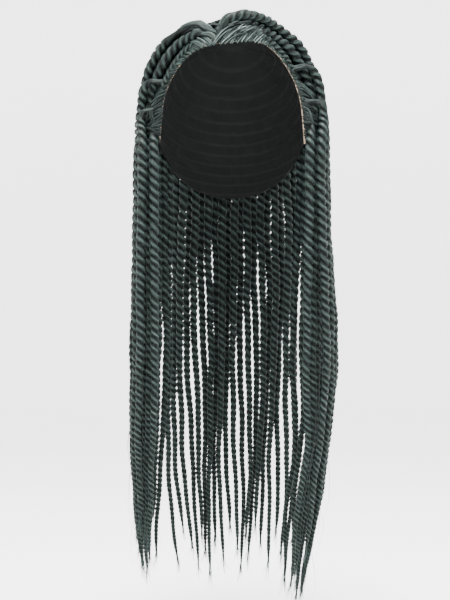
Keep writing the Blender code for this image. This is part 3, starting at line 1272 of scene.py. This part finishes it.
    def _lock(
        self, tubes: TubeMaker, head: Head, edge: Edge, run: float, row: int, dice: np.random.Generator
    ) -> None:
        """Adds one flat lock that lies over the cap.

        Args:
            tubes: The tubes to add to.
            head: The head.
            edge: The rim's points.
            run: Where it grows, as a length along the rim.
            row: Its row, from the edge.
            dice: Seeded random numbers.
        """
        spot, along, over, turn = self._at(edge, run)
        lean = math.radians(read(self.lean, turn) + dice.normal(0.0, 5.0))
        full = read(self.rise, turn)
        heading = over * math.cos(lean) + along * math.sin(lean)
        across = spot.cross(heading).normalized()
        start = row * self.row_step - read(self.over_edge, turn)
        length = read(self.lengths, turn) * dice.uniform(0.85, 1.2)
        share = np.linspace(0.0, 1.0, 12)
        for j in range(self.strands):
            place = fanned(j, self.strands) * 0.9 + dice.normal(0.0, 0.12)
            curl = dice.normal(0.0, 0.0008)
            height = full * dice.uniform(0.85, 1.15) * (1.0 - 0.25 * place * place)
            lead = dice.uniform(-0.0016, 0.0016)
            knots = []
            for t in share:
                reach = start + lead * (1.0 - t) + length * t
                side = place * self.lock_half * (2.2 - 1.2 * t) + curl * math.sin(math.pi * t)
                way = head.stepped(spot, heading * reach + across * side)
                stand = self.lock_height + height * math.sin(0.5 * math.pi * t) ** 1.1
                knots.append(tuple(head.point(way, stand)))
            middles = np.array(knots)
            half = self.lock_half * dice.uniform(0.75, 1.1) * (0.7 + 0.3 * ease(share / 0.2))
            half = half * (0.3 + 0.7 * ease((1.0 - share) / 0.3))
            head.lay_lock(tubes, middles, half, share * length, dice, read(self.painted_highlight, turn))


@dataclass
class PartHair:
    """Untwisted sections behind the short part, which stand up from the cap and cross it."""

    front: float = -0.012
    back: float = 0.05
    pitch: float = 0.0036
    side_at_front: float = -0.018
    side_at_back: float = -0.0225
    start: float = -0.013
    reach: float = 0.045
    stand: float = 0.0105
    clearance: float = 0.001
    climb: float = 0.0035
    dive: float = 0.006
    section_half: float = 0.0024
    section_stray: float = 0.0003
    strands: int = 4
    lock_half: float = 0.0015
    # Painted highlight on the sections over the top of the head
    painted_highlight: float = 0.3
    seed: int = 600

    def build(self, head: Head, finish: bpy.types.Material) -> int:
        """Makes the sections.

        Args:
            head: The head that they lie on.
            finish: The hair's material.

        Returns:
            The number of sections.
        """
        dice = np.random.default_rng(self.seed)
        tubes = TubeMaker()
        places = np.arange(self.front, self.back, self.pitch)
        shares = np.linspace(0.0, 1.0, 16)
        for rank, y in enumerate(places):
            way = 1.0 if rank % 2 else -1.0
            middle = self.side_at_front + (self.side_at_back - self.side_at_front) * rank / (len(places) - 1)
            for j in range(self.strands):
                slip = fanned(j, self.strands) * self.section_half + dice.normal(0.0, self.section_stray)
                stand = self.stand * dice.uniform(0.85, 1.12)
                knots = []
                for t in shares:
                    x = middle + way * (self.start + self.reach * t)
                    place = Vector((x, y + slip * (1.0 - 0.4 * t) + 0.004 * t, 0.0))
                    rest = 1.0 - (place.x / head.half_width) ** 2 - (place.y / head.half_depth) ** 2
                    place.z = head.crown * (math.sqrt(max(0.0, rest)) - 1.0)
                    up, on, down = ease(np.array([t / 0.3, (t - 0.3) / 0.7, (t - 0.8) / 0.2]))
                    height = self.clearance + stand * up + self.climb * on - self.dive * down
                    knots.append(tuple(head.point(head.way(place), height)))
                ends = ease(np.minimum(shares, 1.0 - shares) / 0.2)
                half = self.lock_half * dice.uniform(0.8, 1.15) * (0.4 + 0.6 * ends)
                head.lay_lock(tubes, np.array(knots), half, shares * self.reach, dice, self.painted_highlight)
        tubes.finish("part_sections", finish)
        return len(places)


@dataclass
class Cap:
    """The net cap and its lace front, which keep their solids and get their finishes."""

    def build(self) -> None:
        """Dresses the two solids."""
        for node, finish in (("cap", NetFinish()), ("front_lace", LaceFinish())):
            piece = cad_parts[node]
            material = finish.build()
            for slot in piece.material_slots:
                slot.material = material


@dataclass
class Studio:
    """A pale paper sweep, soft lights and the photograph's camera."""

    floor: float = -0.62
    flat_reach: float = 4.5
    bend: float = 1.5
    height: float = 5.0
    columns: int = 48
    sky_strength: float = 0.3
    lights: Sequence[Tuple[str, Tuple[float, float, float], float, float]] = (
        ("key", (-0.1, -0.6, 1.25), 0.5, 48.0),
        ("fill", (1.3, -1.7, 0.4), 1.2, 10.0),
        ("top", (0.0, -0.15, 1.2), 0.6, 66.0),
    )

    def build(self) -> None:
        """Makes the sweep, the lights and the camera."""
        self._sweep()
        for name, place, size, power in self.lights:
            self._light(name, place, size, power)
        world = bpy.data.worlds.new("studio")
        world.use_nodes = True
        sky = world.node_tree.nodes["Background"].inputs
        sky["Color"].default_value = (1.0, 1.0, 1.0, 1.0)
        sky["Strength"].default_value = self.sky_strength
        bpy.context.scene.world = world
        camera = bpy.data.cameras.new("camera")
        camera.lens = CAMERA_LENS
        camera.sensor_width = CAMERA_SENSOR
        eye = bpy.data.objects.new("camera", camera)
        eye.location = CAMERA_PLACE
        eye.rotation_euler = (math.pi / 2.0, 0.0, 0.0)
        bpy.context.scene.collection.objects.link(eye)
        bpy.context.scene.camera = eye

    def _sweep(self) -> None:
        """Makes the round paper sweep under and about the wig."""
        profile = [(0.5, self.floor), (self.flat_reach, self.floor)]
        for step in range(1, 13):
            turn = math.radians(90.0 * step / 12)
            reach = self.flat_reach + self.bend * math.sin(turn)
            profile.append((reach, self.floor + self.bend * (1.0 - math.cos(turn))))
        profile.append((profile[-1][0], self.height))
        points = [(0.0, 0.0, self.floor)]
        for reach, z in profile:
            turns = [math.tau * column / self.columns for column in range(self.columns)]
            points += [(reach * math.cos(turn), reach * math.sin(turn), z) for turn in turns]
        faces: List[Sequence[int]] = []
        for column in range(self.columns):
            far = (column + 1) % self.columns
            faces.append((0, 1 + column, 1 + far))
            for row in range(len(profile) - 1):
                low = 1 + row * self.columns
                faces.append((low + column, low + self.columns + column, low + self.columns + far, low + far))
        corners = np.zeros((sum(len(face) for face in faces), 2))
        sweep = add_mesh("sweep", np.array(points), faces, corners, StudioFinish().build())

    def _light(self, name: str, place: Sequence[float], size: float, power: float) -> None:
        """Adds a soft square light that faces the wig.

        Args:
            name: Its name.
            place: Where it stands.
            size: Length of its side.
            power: Its power in watts.
        """
        lamp = bpy.data.lights.new(name, "AREA")
        lamp.size = size
        lamp.energy = power
        light = bpy.data.objects.new(name, lamp)
        light.location = place
        light.rotation_euler = (Vector((0.0, 0.0, -0.2)) - Vector(place)).to_track_quat("-Z", "Y").to_euler()
        bpy.context.scene.collection.objects.link(light)


def main() -> None:
    """Builds the wig's looks and the studio."""
    logging.basicConfig(level=logging.INFO, format="%(message)s")
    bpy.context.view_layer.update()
    hair = HairFinish().build()
    head = Head()
    Cap().build()
    log.info("cap and lace front dressed")
    parts: Dict[str, SideHair] = {
        "left": SideHair("left", 0.026, 0.026, 100),
        "right": SideHair("right", 0.062, 0.045, 200),
        "rear": RearHair("rear", 0.05, 0.05, 300),
    }
    for name, part in parts.items():
        log.info("%s hair: %d ropes", name, part.build(head, hair))
    left_lean = ((0.0, 68.0), (18.0, 55.0), (30.0, 35.0), (45.0, 12.0), (70.0, 0.0), (90.0, 8.0))
    right_lean = ((0.0, 70.0), (30.0, 62.0), (50.0, 45.0), (65.0, 20.0), (90.0, 8.0))
    left_rise = ((0.0, 0.0115), (20.0, 0.010), (35.0, 0.007), (50.0, 0.007), (65.0, 0.0115), (90.0, 0.0125))
    right_rise = ((0.0, 0.007), (25.0, 0.007), (40.0, 0.005), (55.0, 0.007), (68.0, 0.0115), (90.0, 0.0125))
    left_over = ((15.0, 0.0028), (28.0, 0.0004), (90.0, 0.0002))
    left_edge = ((0.0048, 0.0066, 0.012, 0.6), (0.0115, 0.0070, 0.02, 0.56))
    right_edge = ((0.0048, 0.0066, 0.008, 0.62), (0.0115, 0.0070, 0.016, 0.56))
    edges = (
        Hairline("left", 1.0, 400, left_lean, left_rise, left_edge, over_edge=left_over),
        Hairline("right", -1.0, 450, right_lean, right_rise, right_edge),
    )
    for hairline in edges:
        log.info("%s hairline: %d locks", hairline.side, hairline.build(head, hair))
    log.info("part: %d sections", PartHair().build(head, hair))
    Studio().build()
    log.info("studio built")


if __name__ == "__main__":
    main()
